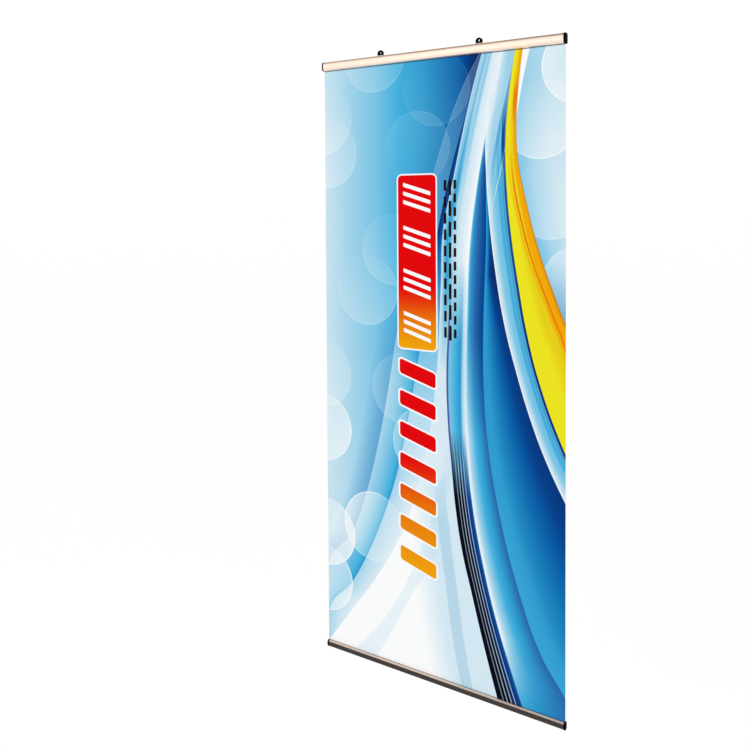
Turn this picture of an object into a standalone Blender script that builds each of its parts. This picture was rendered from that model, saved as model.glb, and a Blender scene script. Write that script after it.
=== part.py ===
"""Hanging display banner: a printed sheet clamped between two hinged-jaw rails, hung on two sliding hangers.

Metres, +Z up, the printed face looks along -Y. The origin lies on the line through both hanger eyelets,
in the plane of the sheet and at the middle of the rail.
"""

import math

import bmesh
import bpy

MM = 0.001
GAP = 0.3 * MM                       # air left between pieces that touch or slide

# Printed sheet
SHEET_WIDTH = 850 * MM
SHEET_DROP = 2000 * MM               # visible print between the two mouths
SHEET_THICKNESS = 0.5 * MM

# Both rails
WALL = 1.4 * MM                      # extrusion wall
GRIP_THICKNESS = 1.0 * MM            # rubber strips that pinch the sheet
CAP_COVER = 3.7 * MM                 # how far a rail stops short of the sheet's edge
FRONT_ROUNDNESS = 3.0                # exponent of the front's superellipse: 2 is an ellipse
FRONT_STEPS = 28
JAW_OPENING = math.radians(65)       # how far a jaw can swing
HINGE_TO_BLOCK = 0.6 * MM            # clear of the hinge ring's sweep
NECK_THICKNESS = 1.2 * MM
HEEL_REACH = 1.8 * MM                # heel beyond the hinge ring
HEEL_TURN = (math.radians(8), math.radians(20))   # the heel's two corners, past the ring's end
RING_OPEN_END = math.radians(300)    # where the ring's outside stops and the heel begins
HEEL_TO_BLOCK = 1.1 * MM
SHELF_BELOW_HEEL = 1.2 * MM
SHELF_THICKNESS = 1.2 * MM
SHELF_LIP = 0.6 * MM
CHAMBER_ROUND_SHARE = 0.9            # inner corner radius over the chamber's depth, at most

# Top rail
TOP_HEIGHT = 31 * MM
TOP_BACK_DEPTH = 9.5 * MM
TOP_BACK_ROUND = 6 * MM
TOP_BEAD_RADIUS = 1.5 * MM
TOP_RING_WALL = 1.3 * MM
TOP_GRIP_HEIGHT = 7 * MM
TOP_GRIP_LIP = 1.4 * MM              # rubber that shows below the jaw
SLOT_WIDTH = 4.4 * MM                # mouth of the hanger track
TRACK_WIDTH = 9.2 * MM
TRACK_HEIGHT = 4.0 * MM
TRACK_LIP = 1.6 * MM

# Bottom rail
BOTTOM_HEIGHT = 21.5 * MM
BOTTOM_BACK_DEPTH = 7.5 * MM
BOTTOM_BACK_ROUND = 4.0 * MM
BOTTOM_BEAD_RADIUS = 1.2 * MM
BOTTOM_RING_WALL = 1.0 * MM
BOTTOM_GRIP_HEIGHT = 6 * MM
BOTTOM_GRIP_LIP = 0.6 * MM
KEEL_FRONT = 3.1 * MM                # front face of the bottom rail's keel, ahead of the sheet
KEEL_DEPTH = 5.6 * MM

# Leaf springs
SPRING_LENGTH = 60 * MM
SPRING_WIDTH = 2.5 * MM
SPRING_THICKNESS = 0.5 * MM
SPRING_STEPS = 12
SPRING_SPREAD = 0.72                 # springs sit at this share of the half rail

# End caps
CAP_PROUD = 0.5 * MM                 # cap outline outside the rail's
CAP_THICKNESS = 6.0 * MM
CAP_EDGE_ROUND = 2.6 * MM
CAP_PEG_LENGTH = 16 * MM
TRACK_PEG_LENGTH = 10 * MM

# Hangers
HANGER_WIDTH = 21.5 * MM
HANGER_HEIGHT = 18 * MM
HANGER_THICKNESS = 8 * MM
HANGER_FOOT_LENGTH = 20 * MM
HANGER_FOOT_WALL = 0.4 * MM          # running clearance of the foot in its track
EYELET_RADIUS = 3.5 * MM
CROWN_SHARE = 0.95                  # height of the crown over half its width
EYELET_RISE = 9.5 * MM               # eyelet centre above the rail
LEFT_HANGER_X = -198 * MM
RIGHT_HANGER_X = 154 * MM

RAIL_LENGTH = SHEET_WIDTH - 2 * CAP_COVER
WEB_FRONT = SHEET_THICKNESS / 2 + GRIP_THICKNESS + 2 * GAP
WEB_BACK = WEB_FRONT + WALL
TOP_Z = -EYELET_RISE
TOP_MOUTH_Z = TOP_Z - TOP_HEIGHT
BOTTOM_MOUTH_Z = TOP_MOUTH_Z - SHEET_DROP
BOTTOM_Z = BOTTOM_MOUTH_Z - BOTTOM_HEIGHT


# ---------------------------------------------------------------- scene and objects

def clear_scene():
    for item in list(bpy.data.objects):
        bpy.data.objects.remove(item, do_unlink=True)


def new_collection(name):
    made = bpy.data.collections.new(name)
    bpy.context.scene.collection.children.link(made)
    return made


def material(name, colour, roughness, metallic=0.0):
    made = bpy.data.materials.new(name)
    made.use_nodes = True
    shader = made.node_tree.nodes["Principled BSDF"]
    shader.inputs["Base Color"].default_value = (*colour, 1.0)
    shader.inputs["Roughness"].default_value = roughness
    shader.inputs["Metallic"].default_value = metallic
    return made


def add_object(name, data, finish, collection):
    made = bpy.data.objects.new(name, data)
    made.data.materials.clear()
    made.data.materials.append(finish)
    collection.objects.link(made)
    return made


def add_cutter(name, data, cutters):
    made = bpy.data.objects.new(name, data)
    made.hide_render = True
    made.display_type = "WIRE"
    cutters.objects.link(made)
    return made


def combine(target, tool, operation):
    step = target.modifiers.new(tool.name, "BOOLEAN")
    step.operation = operation
    step.solver = "EXACT"
    step.object = tool


# ---------------------------------------------------------------- outlines, as (y, z) or (x, z) points

def arc(centre, radius, start, end, steps):
    """Points on a circle from one angle to another, both included."""
    points = []
    for i in range(steps + 1):
        angle = start + (end - start) * i / steps
        points.append((centre[0] + radius * math.cos(angle), centre[1] + radius * math.sin(angle)))
    return points


def rectangle(low, high):
    return [(low[0], low[1]), (high[0], low[1]), (high[0], high[1]), (low[0], high[1])]


def outline_curve(name, loops, thickness):
    """A flat 2D curve filled between its loops, with a thickness along its own Z."""
    curve = bpy.data.curves.new(name, "CURVE")
    curve.dimensions = "2D"
    curve.fill_mode = "BOTH"
    curve.extrude = thickness / 2
    for loop in loops:
        spline = curve.splines.new("POLY")
        spline.points.add(len(loop) - 1)
        for point, (u, v) in zip(spline.points, loop):
            point.co = (u, v, 0, 1)
        spline.use_cyclic_u = True
    return curve


def solid_mesh(name, loops, thickness):
    """The same outline as a welded, closed mesh, for pieces that take a Boolean or a bevel."""
    curve = outline_curve(name, loops, thickness)
    holder = bpy.data.objects.new(name, curve)
    bpy.context.scene.collection.objects.link(holder)
    bpy.context.view_layer.update()
    evaluated = holder.evaluated_get(bpy.context.evaluated_depsgraph_get())
    mesh = bpy.data.meshes.new_from_object(evaluated)
    bpy.data.objects.remove(holder, do_unlink=True)
    bpy.data.curves.remove(curve)
    shape = bmesh.new()
    shape.from_mesh(mesh)
    bmesh.ops.remove_doubles(shape, verts=shape.verts, dist=0.00001)
    bmesh.ops.recalc_face_normals(shape, faces=shape.faces)
    shape.to_mesh(mesh)
    shape.free()
    return mesh


def lay_along_x(target, x=0.0):
    """Turns an outline drawn in (y, z) so that it runs along X."""
    target.rotation_euler = (math.pi / 2, 0, math.pi / 2)
    target.location = (x, 0, 0)


def lay_along_y(target, location):
    """Turns an outline drawn in (x, z) so that its thickness runs along Y."""
    target.rotation_euler = (math.pi / 2, 0, 0)
    target.location = location


# ---------------------------------------------------------------- rail sections
# A section is drawn in (y, depth): depth grows from the hinge side of the rail to its mouth.

class Section:
    """The shared geometry of one rail, worked out from its own sizes."""

    def __init__(self, height, back, back_round, bead, ring_wall, block_front, block_depth, grip, grip_lip):
        self.height = height
        self.back = back
        self.back_round = back_round
        self.bead = bead
        self.ring_inner = bead + GAP
        self.ring_outer = bead + GAP + ring_wall
        self.heel = self.ring_outer + HEEL_REACH
        self.block_front = block_front
        self.block_depth = block_depth
        self.grip = grip
        self.grip_lip = grip_lip
        self.ring_end = math.asin((NECK_THICKNESS / 2 + GAP) / self.ring_inner)
        rise = self.heel * math.sin(self.ring_end + HEEL_TURN[0]) - HEEL_TO_BLOCK
        self.pivot_y = -block_front - HINGE_TO_BLOCK - self.ring_outer
        self.pivot_depth = block_depth - rise
        self.bulge = (self.ring_outer - self.pivot_y) / self.swell(self.pivot_depth, height)
        self.heel_y, self.heel_depth = self.ring_point(self.heel, -self.ring_end - HEEL_TURN[1])
        self.shelf = self.pivot_depth + self.heel + SHELF_BELOW_HEEL
        self.sheet_edge = self.shelf + SHELF_THICKNESS + GAP

    @staticmethod
    def swell(depth, height):
        """Share of the full bulge at a depth: the upper half of a superellipse."""
        across = min(abs(1 - 2 * depth / height), 1.0)
        return (1 - across ** FRONT_ROUNDNESS) ** (1 / FRONT_ROUNDNESS)

    def front(self, first, last, steps, inset=0.0):
        """Points down the rounded front between two depths, set in by a wall where asked."""
        points = []
        for i in range(steps + 1):
            turn = 0.5 - 0.5 * math.cos(math.pi * i / steps)
            depth = first + (last - first) * turn
            share = self.swell(depth - inset, self.height - 2 * inset)
            points.append((-(self.bulge - inset) * share, depth))
        return points

    def depth_at(self, y, towards):
        """Depth where the front crosses a given y: towards is -1 on the hinge side and +1 at the mouth."""
        share = -y / self.bulge
        across = (1 - share ** FRONT_ROUNDNESS) ** (1 / FRONT_ROUNDNESS)
        return self.height / 2 * (1 + towards * across)

    def ring_point(self, radius, angle):
        """A point around the hinge; angles run from +Y and turn towards the rail's hinge-side edge."""
        y = self.pivot_y + radius * math.cos(angle)
        return (y, self.pivot_depth - radius * math.sin(angle))

    def ring_arc(self, radius, start, end, steps):
        return [self.ring_point(radius, start + (end - start) * i / steps) for i in range(steps + 1)]

    def back_loop(self, track):
        """Outer loop of the back extrusion; track is the hanger slot cut into its hinge side, or []."""
        neck = math.asin(NECK_THICKNESS / 2 / self.bead)
        half_neck = NECK_THICKNESS / 2
        loop = [(-self.block_front, 0.0), (-self.block_front, self.pivot_depth - half_neck)]
        loop += self.ring_arc(self.bead, neck, 2 * math.pi - neck, 20)
        loop += [(-self.block_front, self.pivot_depth + half_neck), (-self.block_front, self.block_depth)]
        loop += [(WEB_FRONT, self.block_depth), (WEB_FRONT, self.shelf)]
        loop += [(self.heel_y - SHELF_LIP, self.shelf), (self.heel_y - SHELF_LIP, self.shelf + SHELF_THICKNESS)]
        loop += [(WEB_FRONT, self.shelf + SHELF_THICKNESS), (WEB_FRONT, self.height)]
        corner = self.back - self.back_round
        loop += arc((corner, self.height - self.back_round), self.back_round, math.pi / 2, 0, 8)
        loop += arc((corner, self.back_round), self.back_round, 0, -math.pi / 2, 8)
        return loop + track

    def chamber(self):
        """The hollow between the web and the back skin, which also takes the cap's long peg."""
        inner = min(self.back_round - WALL, CHAMBER_ROUND_SHARE * (self.back - WALL - WEB_BACK))
        corner = (self.back - WALL - inner, self.height - WALL - inner)
        loop = [(WEB_BACK, self.height - WALL), (WEB_BACK, self.block_depth + WALL)]
        loop += [(self.back - WALL, self.block_depth + WALL)]
        return loop + arc(corner, inner, 0, math.pi / 2, 6)

    def jaw_loop(self):
        """The hinged front: outer skin, grip pad, inner skin, spring heel and the ring round the bead."""
        mouth = -WEB_FRONT
        pad_back = mouth - WALL
        ring_start = self.ring_end + JAW_OPENING
        start_y = self.pivot_y + self.ring_outer * math.cos(ring_start)
        start = self.depth_at(start_y, -1)
        end = self.depth_at(mouth, 1)
        loop = self.front(start, end, FRONT_STEPS)
        pad_top = self.height - self.grip
        loop += [(mouth, pad_top), (pad_back, pad_top)]
        ring_angle = self.ring_meets_skin()
        loop += self.inner_skin(pad_back, self.ring_point(self.ring_outer, ring_angle)[1])
        loop += self.ring_arc(self.ring_outer, ring_angle, RING_OPEN_END, 6)
        loop += [(self.heel_y, self.heel_depth), self.ring_point(self.heel, -self.ring_end - HEEL_TURN[0])]
        loop += [self.ring_point(self.ring_outer, -self.ring_end)]
        loop += self.ring_arc(self.ring_inner, -self.ring_end, ring_start - 2 * math.pi, 18)
        return loop

    def ring_meets_skin(self):
        """Angle at which the ring's outside comes clear of the skin's inner face."""
        angle = math.pi
        clear = False
        while not clear:
            angle += math.radians(0.5)
            y, depth = self.ring_point(self.ring_outer, angle)
            share = self.swell(depth - WALL, self.height - 2 * WALL)
            clear = -y < (self.bulge - WALL) * share
        return angle

    def inner_skin(self, pad_back, last_depth):
        """Inner face of the jaw's skin, from behind the grip pad up to the hinge ring."""
        low = self.height - WALL
        points = [point for point in self.front(low, last_depth, FRONT_STEPS, WALL)[:-1]
                  if point[0] < pad_back - WALL / 2]
        return [(pad_back, points[0][1])] + points


def top_section():
    block_front = TRACK_WIDTH / 2 + WALL
    block_depth = TRACK_LIP + TRACK_HEIGHT + WALL
    return Section(TOP_HEIGHT, TOP_BACK_DEPTH, TOP_BACK_ROUND, TOP_BEAD_RADIUS, TOP_RING_WALL,
                   block_front, block_depth, TOP_GRIP_HEIGHT, TOP_GRIP_LIP)


def bottom_section():
    return Section(BOTTOM_HEIGHT, BOTTOM_BACK_DEPTH, BOTTOM_BACK_ROUND, BOTTOM_BEAD_RADIUS, BOTTOM_RING_WALL,
                   KEEL_FRONT, KEEL_DEPTH, BOTTOM_GRIP_HEIGHT, BOTTOM_GRIP_LIP)


def hanger_track():
    """The undercut slot in the top rail, walked from its back lip to its front lip."""
    slot = SLOT_WIDTH / 2
    track = TRACK_WIDTH / 2
    floor = TRACK_LIP + TRACK_HEIGHT
    return [(slot, 0.0), (slot, TRACK_LIP), (track, TRACK_LIP), (track, floor), (-track, floor),
            (-track, TRACK_LIP), (-slot, TRACK_LIP), (-slot, 0.0)]


def keel_hollow():
    """The hollow along the bottom rail's keel, which takes the cap's short peg."""
    return rectangle((-KEEL_FRONT + WALL, WALL), (BOTTOM_BACK_DEPTH - BOTTOM_BACK_ROUND, KEEL_DEPTH - WALL))


# ---------------------------------------------------------------- one rail

class Rail:
    """Builds the pieces of one rail; down is +1 where depth runs downwards and -1 where it runs upwards."""

    def __init__(self, name, section, edge_z, down, finishes, collections):
        self.name = name
        self.section = section
        self.edge_z = edge_z
        self.down = down
        self.finishes = finishes
        self.parts, self.cutters = collections

    def z(self, depth):
        return self.edge_z - self.down * depth

    def placed(self, loop):
        return [(y, self.z(depth)) for y, depth in loop]

    def extrude(self, piece, loops, length, finish):
        curve = outline_curve(f"{self.name}_{piece}", [self.placed(loop) for loop in loops], length)
        made = add_object(f"{self.name}_{piece}", curve, self.finishes[finish], self.parts)
        lay_along_x(made)
        return made

    def back_rail(self, track, extra_hollows):
        loops = [self.section.back_loop(track), self.section.chamber()] + extra_hollows
        return self.extrude("back_rail", loops, RAIL_LENGTH, "rail")

    def front_jaw(self):
        return self.extrude("front_jaw", [self.section.jaw_loop()], RAIL_LENGTH - 2 * GAP, "jaw")

    def grips(self):
        section = self.section
        top = section.height - section.grip + GAP
        bottom = section.height + section.grip_lip
        near = SHEET_THICKNESS / 2 + GAP
        front = rectangle((-near - GRIP_THICKNESS, top), (-near, bottom))
        rear = rectangle((near, top), (near + GRIP_THICKNESS, bottom))
        self.extrude("front_grip", [front], RAIL_LENGTH - 2 * GAP, "rubber")
        self.extrude("rear_grip", [rear], RAIL_LENGTH - 2 * GAP, "rubber")

    def springs(self):
        """Bowed steel leaves on the shelf, whose crowns push the jaw's heel and keep it shut."""
        section = self.section
        seat = section.shelf - GAP
        bow = seat - section.heel_depth - GAP - SPRING_THICKNESS
        crown = []
        for i in range(SPRING_STEPS + 1):
            x = -SPRING_LENGTH / 2 + SPRING_LENGTH * i / SPRING_STEPS
            crown.append((x, seat - SPRING_THICKNESS - bow * math.sin(math.pi * i / SPRING_STEPS)))
        sole = [(x, depth + SPRING_THICKNESS) for x, depth in reversed(crown)]
        loop = [(x, self.z(depth)) for x, depth in crown + sole]
        offset = SPRING_SPREAD * RAIL_LENGTH / 2
        for side, x in (("left", -offset), ("right", offset)):
            curve = outline_curve(f"{self.name}_spring_{side}", [loop], SPRING_WIDTH)
            made = add_object(f"{self.name}_spring_{side}", curve, self.finishes["spring"], self.parts)
            lay_along_y(made, (x, section.heel_y + SPRING_WIDTH / 2, 0))

    def cap_outline(self):
        """The rail's own outline, grown by the cap's overhang."""
        section = self.section
        front = section.front(0.0, section.height, FRONT_STEPS)
        back = section.back_round
        corner = section.back - back
        rear = arc((corner, section.height - back), back, math.pi / 2, 0, 8)
        rear += arc((corner, back), back, 0, -math.pi / 2, 8)
        centre_y = corner
        centre_depth = section.height / 2
        grow_y = 1 + CAP_PROUD / (section.bulge + centre_y)
        grow_depth = 1 + 2 * CAP_PROUD / section.height
        grown = []
        for y, depth in front + rear:
            stretch = grow_y if y < centre_y else 1 + CAP_PROUD / back
            new_y = centre_y + (y - centre_y) * stretch
            grown.append((new_y, centre_depth + (depth - centre_depth) * grow_depth))
        return grown

    def caps(self, short_peg):
        """Domed plastic caps with two pegs pushed into the rail's hollows."""
        section = self.section
        long_peg = rectangle((WEB_BACK + GAP, section.block_depth + WALL + GAP),
                             (section.back - WALL - GAP, section.height - section.back_round))
        inner = RAIL_LENGTH / 2 + GAP
        for side, sign in (("left", -1), ("right", 1)):
            name = f"{self.name}_cap_{side}"
            plate = solid_mesh(name, [self.placed(self.cap_outline())], CAP_THICKNESS)
            round_rim(plate, sign * CAP_THICKNESS / 2)
            cap = add_object(name, plate, self.finishes["cap"], self.parts)
            lay_along_x(cap, sign * (inner + CAP_THICKNESS / 2))
            for label, outline, reach in (("long", long_peg, CAP_PEG_LENGTH), ("short", short_peg, TRACK_PEG_LENGTH)):
                length = reach + CAP_THICKNESS / 2
                mesh = solid_mesh(f"{name}_{label}_peg", [self.placed(outline)], length)
                peg = add_cutter(f"{name}_{label}_peg", mesh, self.cutters)
                lay_along_x(peg, sign * (inner - reach + length / 2))
                combine(cap, peg, "UNION")
            cap.data.shade_smooth()
            cap.data.set_sharp_from_angle(angle=math.radians(35))


def round_rim(mesh, outer):
    """Rounds the outer rim of a cap plate that still lies flat in its own XY plane."""
    shape = bmesh.new()
    shape.from_mesh(mesh)
    rim = [edge for edge in shape.edges
           if len(edge.link_faces) == 2
           and all(abs(vert.co.z - outer) < GAP / 10 for vert in edge.verts)
           and edge.calc_face_angle() > math.radians(60)]
    bmesh.ops.bevel(shape, geom=rim, offset=CAP_EDGE_ROUND, offset_type="OFFSET", segments=4, profile=0.5,
                    affect="EDGES", clamp_overlap=True)
    shape.to_mesh(mesh)
    shape.free()


# ---------------------------------------------------------------- hangers and sheet

def hanger_arch():
    """Front view of a hanger above the rail: straight foot sides under a half-ellipse, with its eyelet."""
    half = HANGER_WIDTH / 2
    shoulder = HANGER_HEIGHT - half * CROWN_SHARE
    seat = TOP_Z + GAP
    crown = [(half * math.cos(a), TOP_Z + shoulder + (HANGER_HEIGHT - shoulder) * math.sin(a))
             for a in (math.pi * i / 20 for i in range(21))]
    eyelet = arc((0.0, 0.0), EYELET_RADIUS, 0, 2 * math.pi * 23 / 24, 23)
    return [[(half, seat)] + crown + [(-half, seat)], eyelet]


def hanger(name, x, finish, parts, cutters):
    """A moulded hanger: the arch over the rail, a neck through the slot and a foot in the track."""
    mesh = solid_mesh(name, hanger_arch(), HANGER_THICKNESS)
    made = add_object(name, mesh, finish, parts)
    lay_along_y(made, (x, 0, 0))
    foot_top = TOP_Z - TRACK_LIP - HANGER_FOOT_WALL
    foot_bottom = TOP_Z - TRACK_LIP - TRACK_HEIGHT + HANGER_FOOT_WALL
    foot_half = TRACK_WIDTH / 2 - HANGER_FOOT_WALL
    neck_half = SLOT_WIDTH / 2 - HANGER_FOOT_WALL
    overlap = (foot_top - foot_bottom) / 2
    tee = [(foot_half, foot_bottom), (foot_half, foot_top), (neck_half, foot_top), (neck_half, TOP_Z + overlap),
           (-neck_half, TOP_Z + overlap), (-neck_half, foot_top), (-foot_half, foot_top),
           (-foot_half, foot_bottom)]
    tool = add_cutter(f"{name}_foot", solid_mesh(f"{name}_foot", [tee], HANGER_FOOT_LENGTH), cutters)
    lay_along_x(tool, x)
    combine(made, tool, "UNION")
    made.data.shade_smooth()
    made.data.set_sharp_from_angle(angle=math.radians(35))
    return made


def sheet_outline(top, bottom):
    """The cut print: full width between the mouths, notched at its corners where the caps sit."""
    wide = SHEET_WIDTH / 2
    narrow = RAIL_LENGTH / 2 - GAP
    shoulder = CAP_PROUD + GAP
    high = top.z(top.section.height) - shoulder
    low = bottom.z(bottom.section.height) + shoulder
    top_edge = top.z(top.section.sheet_edge)
    bottom_edge = bottom.z(bottom.section.sheet_edge)
    right = [(narrow, bottom_edge), (narrow, low), (wide, low), (wide, high), (narrow, high), (narrow, top_edge)]
    return right + [(-x, z) for x, z in reversed(right)]


def printed_sheet(top, bottom, finish, parts):
    curve = outline_curve("printed_sheet", [sheet_outline(top, bottom)], SHEET_THICKNESS)
    made = add_object("printed_sheet", curve, finish, parts)
    lay_along_y(made, (0, 0, 0))
    return made


def main():
    clear_scene()
    parts = new_collection("hanging_banner")
    cutters = new_collection("hanging_banner_cutters")
    champagne = material("champagne_anodised", (0.86, 0.76, 0.66), 0.32, 1.0)
    bronze = material("bronze_anodised", (0.16, 0.13, 0.11), 0.35, 1.0)
    rubber = material("black_rubber", (0.03, 0.03, 0.035), 0.8)
    plastic = material("black_plastic", (0.012, 0.012, 0.013), 0.35)
    steel = material("spring_steel", (0.55, 0.55, 0.56), 0.3, 1.0)
    print_film = material("printed_film", (0.25, 0.55, 0.8), 0.45)
    top_finishes = {"rail": champagne, "jaw": champagne, "rubber": rubber, "cap": plastic, "spring": steel}
    bottom_finishes = dict(top_finishes, jaw=bronze)

    top = Rail("top", top_section(), TOP_Z, 1, top_finishes, (parts, cutters))
    top.back_rail(hanger_track(), [])
    top.caps(rectangle((-TRACK_WIDTH / 2 + GAP, TRACK_LIP + GAP),
                       (TRACK_WIDTH / 2 - GAP, TRACK_LIP + TRACK_HEIGHT - GAP)))

    bottom = Rail("bottom", bottom_section(), BOTTOM_Z, -1, bottom_finishes, (parts, cutters))
    bottom.back_rail([], [keel_hollow()])
    bottom.caps(rectangle((-KEEL_FRONT + WALL + GAP, WALL + GAP),
                          (BOTTOM_BACK_DEPTH - BOTTOM_BACK_ROUND - GAP, KEEL_DEPTH - WALL - GAP)))

    for rail in (top, bottom):
        rail.front_jaw()
        rail.grips()
        rail.springs()

    printed_sheet(top, bottom, print_film, parts)
    hanger("hanger_left", LEFT_HANGER_X, plastic, parts, cutters)
    hanger("hanger_right", RIGHT_HANGER_X, plastic, parts, cutters)


main()
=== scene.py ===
"""Looks of a hanging display banner: a printed film between two clamp rails, with caps and sliding hangers."""

import math

import bmesh
import bpy
from bpy.props import FloatProperty, FloatVectorProperty, IntProperty, PointerProperty
from mathutils import Matrix, Vector


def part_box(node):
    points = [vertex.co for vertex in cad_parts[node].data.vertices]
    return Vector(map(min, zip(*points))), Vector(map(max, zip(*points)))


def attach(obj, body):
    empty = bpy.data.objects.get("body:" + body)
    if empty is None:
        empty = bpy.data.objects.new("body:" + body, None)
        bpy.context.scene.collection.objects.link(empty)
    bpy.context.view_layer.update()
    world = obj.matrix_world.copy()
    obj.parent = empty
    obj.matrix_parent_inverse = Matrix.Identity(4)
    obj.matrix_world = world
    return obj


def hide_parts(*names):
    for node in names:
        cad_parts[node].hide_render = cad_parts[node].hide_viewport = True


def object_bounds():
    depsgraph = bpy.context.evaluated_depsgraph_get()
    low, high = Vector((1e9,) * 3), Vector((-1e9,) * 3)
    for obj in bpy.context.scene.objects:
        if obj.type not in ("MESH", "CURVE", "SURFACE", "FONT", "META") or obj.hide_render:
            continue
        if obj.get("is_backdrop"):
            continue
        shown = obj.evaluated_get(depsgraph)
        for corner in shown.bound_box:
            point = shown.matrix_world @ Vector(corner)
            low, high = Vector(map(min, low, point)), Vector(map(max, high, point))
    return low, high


bl_info = {
    "name": "Hanging Banner",
    "version": (1, 0, 0),
    "blender": (4, 5, 0),
    "location": "3D View > Sidebar > Banner",
    "description": "Builds a printed banner in two clamp rails with caps and hangers",
    "category": "Add Mesh",
}

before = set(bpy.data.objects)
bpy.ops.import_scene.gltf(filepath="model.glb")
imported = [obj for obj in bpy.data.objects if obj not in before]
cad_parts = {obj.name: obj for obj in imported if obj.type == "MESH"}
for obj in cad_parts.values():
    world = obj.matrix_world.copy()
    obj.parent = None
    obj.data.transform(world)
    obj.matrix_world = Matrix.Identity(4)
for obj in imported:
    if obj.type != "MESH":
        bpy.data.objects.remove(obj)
CAD_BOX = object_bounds()
MADE = {}

MM = 0.001
GAP = 0.3 * MM
SHEET_THICKNESS = 0.5 * MM
WALL = 1.4 * MM
GRIP_THICKNESS = 1.0 * MM
ROUNDNESS = 3.0
JAW_OPENING = math.radians(65)
HINGE_TO_BLOCK = 0.6 * MM
NECK = 1.2 * MM
HEEL_REACH = 1.8 * MM
HEEL_TURN = (math.radians(8), math.radians(20))
RING_OPEN_END = math.radians(300)
HEEL_TO_BLOCK = 1.1 * MM
SHELF_BELOW_HEEL = 1.2 * MM
SHELF_THICKNESS = 1.2 * MM
SHELF_LIP = 0.6 * MM
CHAMBER_ROUND_SHARE = 0.9
KEEL_FRONT, KEEL_DEPTH = 3.1 * MM, 5.6 * MM
KEEL_WEB = 3.5 * MM
WEB_FRONT = SHEET_THICKNESS / 2 + GRIP_THICKNESS + 2 * GAP
WEB_BACK = WEB_FRONT + WALL
SLOT_WIDTH = 4.4 * MM
TRACK_WIDTH = 9.2 * MM
TRACK_HEIGHT = 4.0 * MM
TRACK_LIP = 1.6 * MM
HANGER_RUN = 0.4 * MM
HANGER_THICKNESS = 8 * MM
HANGER_FOOT = 20 * MM
HANGER_ROUND_STEPS = 5
CROWN_SHARE = 0.95
NECK_OVERLAP = 1.6 * MM
EYELET_RADIUS = 3.5 * MM
EYELET_STEPS = 36
EYELET_ROUND_STEPS = 4
SPRING_ROUND = 0.12 * MM
SPRING_ROUND_STEPS = 2
CAP_PROUD = 0.5 * MM
CAP_PEG = 16 * MM
TRACK_PEG = 10 * MM
WELD = 0.005 * MM
SMOOTH_ANGLE = math.radians(32)
SWATCH_GAMMA = 2.2
INK_BLUR = 1.2
WHITE = (1.0, 1.0, 1.0, 1.0)
PLAIN = (1.0, 1.0, 1.0)
FLOOR_REACH = 120.0
CAMERA_PLACE = (1.0944, -2.1747, -0.5014)
CAMERA_TURN = (31.232, 1.720, -0.3735)      # yaw, pitch and roll in degrees
LIGHT_AIM = Vector((0, 0, -1.0))
# Name, place, width and share of the key light's power.
LIGHTS = (("key_light", (-1.3, -3.4, 0.3), 2.2, 1.0), ("side_light", (3.2, -2.0, -0.2), 1.6, 0.35))

# Section coordinates are (y, depth), and an outline drawn in (u, v) is pushed along w.
ALONG_X = Matrix(((0, 0, 1, 0), (1, 0, 0, 0), (0, 1, 0, 0), (0, 0, 0, 1)))
ALONG_Y = Matrix(((1, 0, 0, 0), (0, 0, -1, 0), (0, 1, 0, 0), (0, 0, 0, 1)))


# ---------------------------------------------------------------- settings

def length(name, description, default, lowest=0.0):
    return FloatProperty(name=name, description=description, default=default, min=lowest, subtype="DISTANCE",
                         unit="LENGTH", precision=5)


def count(name, description, default, lowest):
    return IntProperty(name=name, description=description, default=default, min=lowest)


def colour(name, description, default):
    return FloatVectorProperty(name=name, description=description, default=default, size=3, min=0.0, max=1.0,
                               subtype="COLOR_GAMMA")


def printed(name, code):
    """A print colour, given as the six-digit code a printer would use."""
    return colour(name, "Ink colour of the print", tuple(int(code[i:i + 2], 16) / 255 for i in (0, 2, 4)))


class RailSettings(bpy.types.PropertyGroup):
    front_steps: count("Front steps", "Facets down a rail's rounded front", 44, 8)
    arc_steps: count("Arc steps", "Facets on a small arc of the section", 14, 4)
    end_chamfer: length("End chamfer", "Chamfer left by the saw at a rail's ends", 0.25 * MM)
    grip_ribs: count("Grip ribs", "Ribs on the pinching face of a rubber strip", 5, 1)
    spring_length: length("Spring length", "Length of a leaf spring", 60 * MM)
    spring_thickness: length("Spring thickness", "Thickness of a leaf spring", 0.5 * MM)
    spring_steps: count("Spring steps", "Facets along a leaf spring", 32, 4)


class FittingSettings(bpy.types.PropertyGroup):
    cap_round: length("Cap rounding", "Radius of a cap's outer rim", 2.6 * MM)
    cap_round_steps: count("Cap rounding steps", "Facets round a cap's rim", 8, 2)
    hanger_round: length("Hanger rounding", "Radius of a hanger's moulded edges", 1.3 * MM)
    eyelet_round: length("Eyelet rounding", "Radius of the eyelet's mouth", 0.4 * MM)
    arch_steps: count("Arch steps", "Facets round a hanger's crown", 48, 8)


class FilmSettings(bpy.types.PropertyGroup):
    spacing: length("Spacing", "Spacing of the film's mesh", 10 * MM, 1 * MM)
    ripple: length("Ripple", "How far the hung film leaves its plane", 0.45 * MM)
    ripple_length: length("Ripple length", "Distance between two ripples", 0.31)


class FinishSettings(bpy.types.PropertyGroup):
    champagne: colour("Champagne", "Satin anodised aluminium", (1.0, 0.895, 0.825))
    # Painted shade: a dark colour that stands in for the shade on the lower rail's front face.
    painted_shade_bronze: colour("Bronze", "Dark anodised face of the lower rail", (0.27, 0.245, 0.235))
    black: colour("Black plastic", "Caps and hangers", (0.05, 0.045, 0.045))
    rubber: colour("Rubber", "Strips that pinch the film", (0.13, 0.13, 0.15))
    steel: colour("Spring steel", "Leaf springs", (0.76, 0.76, 0.77))
    film_back: colour("Film back", "Unprinted side of the film", (0.93, 0.93, 0.925))
    floor: colour("Floor", "Studio floor", (0.98, 0.98, 0.98))


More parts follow.
